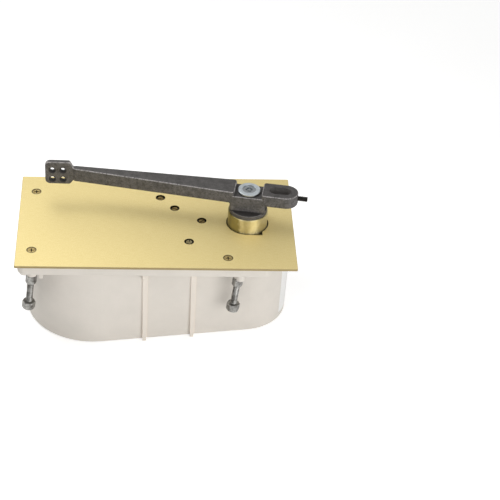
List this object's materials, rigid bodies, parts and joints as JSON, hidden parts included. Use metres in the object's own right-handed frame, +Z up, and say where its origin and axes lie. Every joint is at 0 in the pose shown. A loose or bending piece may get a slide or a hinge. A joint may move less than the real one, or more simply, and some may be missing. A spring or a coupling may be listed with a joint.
{
  "type": "floor spring door closer",
  "caption": "Floor spring: round-ended case let into the floor, brass cover plate, slotted forged door arm on a sprung and damped spindle.",
  "frame": {"origin": "spindle axis where it meets the top of the cover plate, which is the finished floor level", "axes": "+Z up along the spindle, +X along the case towards its spindle end, -Y the side the door opens to"},
  "size_m": [0.3503, 0.186, 0.185],
  "materials": {
    "case_paint": "satin cream paint on sheet and casting",
    "brass_plate": "brushed and lacquered",
    "brass_screw": "bright",
    "brass_valve": "oiled",
    "brass_collar": "turned bright",
    "grey_steel": "dull plated",
    "black_steel": "black oxide",
    "bright_steel": "ground",
    "zinc_steel": "bright zinc",
    "spring_steel": "shot peened",
    "body_iron": "sand cast",
    "forged_iron": "forged, dark scale",
    "bronze": "turned",
    "gasket": "fibre and rubber",
    "seal_rubber": "matt"
  },
  "bodies": {
    "pit": {"cement_case": "case_paint", "cover_plate": "brass_plate", "cover_plate_screws": "brass_screw", "levelling_nuts": "grey_steel", "closer_body": "body_iron", "hold_down_screws": "grey_steel", "body_gasket": "gasket", "body_lid": "body_iron", "lid_screws": "black_steel", "spindle_bush": "bronze", "oil_seal": "seal_rubber", "filler_washer": "gasket", "filler_plug": "brass_valve", "lower_bearing_race": "bright_steel", "bearing_balls": "bright_steel", "spring_abutment": "body_iron", "guide_rods": "bright_steel", "damper_cylinder": "bright_steel", "cylinder_gland": "bronze", "closing_spring": "spring_steel"},
    "arm": {"spindle": "bright_steel", "cam_key": "bright_steel", "cam": "bright_steel", "upper_bearing_race": "bright_steel", "spindle_collar": "brass_collar", "door_arm": "forged_iron", "arm_bolt": "zinc_steel"},
    "crosshead": {"crosshead": "body_iron", "roller_pin": "bright_steel", "piston_rod": "bright_steel", "piston": "body_iron", "piston_ring": "bronze", "check_ball": "bright_steel"},
    "roller": {"drive_roller": "bright_steel"},
    "tail_screw": {"arm_adjusting_screw": "black_steel"},
    "latch_valve": {"latch_valve": "brass_valve"},
    "sweep_valve": {"sweep_valve": "brass_valve"},
    "backcheck_valve": {"backcheck_valve": "brass_valve"},
    "levelling_bolt_left_front": {"levelling_bolt_left_front": "grey_steel"},
    "levelling_bolt_left_back": {"levelling_bolt_left_back": "grey_steel"},
    "levelling_bolt_right_front": {"levelling_bolt_right_front": "grey_steel"},
    "levelling_bolt_right_back": {"levelling_bolt_right_back": "grey_steel"}
  },
  "joints": [
    {"name": "arm_swing", "type": "hinge", "parent": "pit", "child": "arm", "pos_m": [0, 0, 0], "axis": [0, 0, 1], "range_deg": [0, 125], "stiffness_Nm_per_rad": 12, "springref_deg": -20.05},
    {"name": "crosshead_slide", "type": "slide", "parent": "pit", "child": "crosshead", "axis": [-1, 0, 0], "range_m": [0, 0.0176], "deforming": ["closing_spring"]},
    {"name": "roller_spin", "type": "hinge", "parent": "crosshead", "child": "roller", "pos_m": [-0.0241, 0, -0.064], "axis": [0, 0, 1], "range_deg": [-340, 0]},
    {"name": "tail_screw_slide", "type": "slide", "parent": "arm", "child": "tail_screw", "axis": [0.9833, -0.1822, 0], "range_m": [-0.008, 0.002]},
    {"name": "latch_valve_turn", "type": "hinge", "parent": "pit", "child": "latch_valve", "pos_m": [-0.106, 0.05, -0.01], "axis": [0, 0, 1], "range_deg": [-180, 180]},
    {"name": "sweep_valve_turn", "type": "hinge", "parent": "pit", "child": "sweep_valve", "pos_m": [-0.0885, 0.028, -0.01], "axis": [0, 0, 1], "range_deg": [-180, 180]},
    {"name": "backcheck_valve_turn", "type": "hinge", "parent": "pit", "child": "backcheck_valve", "pos_m": [-0.0557, 0.0027, -0.01], "axis": [0, 0, 1], "range_deg": [-180, 180]},
    {"name": "levelling_left_front", "type": "slide", "parent": "pit", "child": "levelling_bolt_left_front", "axis": [-0.1045, 0, -0.9945], "range_m": [0, 0.014]},
    {"name": "levelling_left_back", "type": "slide", "parent": "pit", "child": "levelling_bolt_left_back", "axis": [-0.1045, 0, -0.9945], "range_m": [0, 0.014]},
    {"name": "levelling_right_front", "type": "slide", "parent": "pit", "child": "levelling_bolt_right_front", "axis": [-0.1045, 0, -0.9945], "range_m": [0, 0.014]},
    {"name": "levelling_right_back", "type": "slide", "parent": "pit", "child": "levelling_bolt_right_back", "axis": [-0.1045, 0, -0.9945], "range_m": [0, 0.014]}
  ],
  "couplings": [
    {"joint": "crosshead_slide", "follows": "arm_swing", "m_per_rad": 0.008},
    {"joint": "roller_spin", "follows": "arm_swing", "ratio": -2.7}
  ]
}
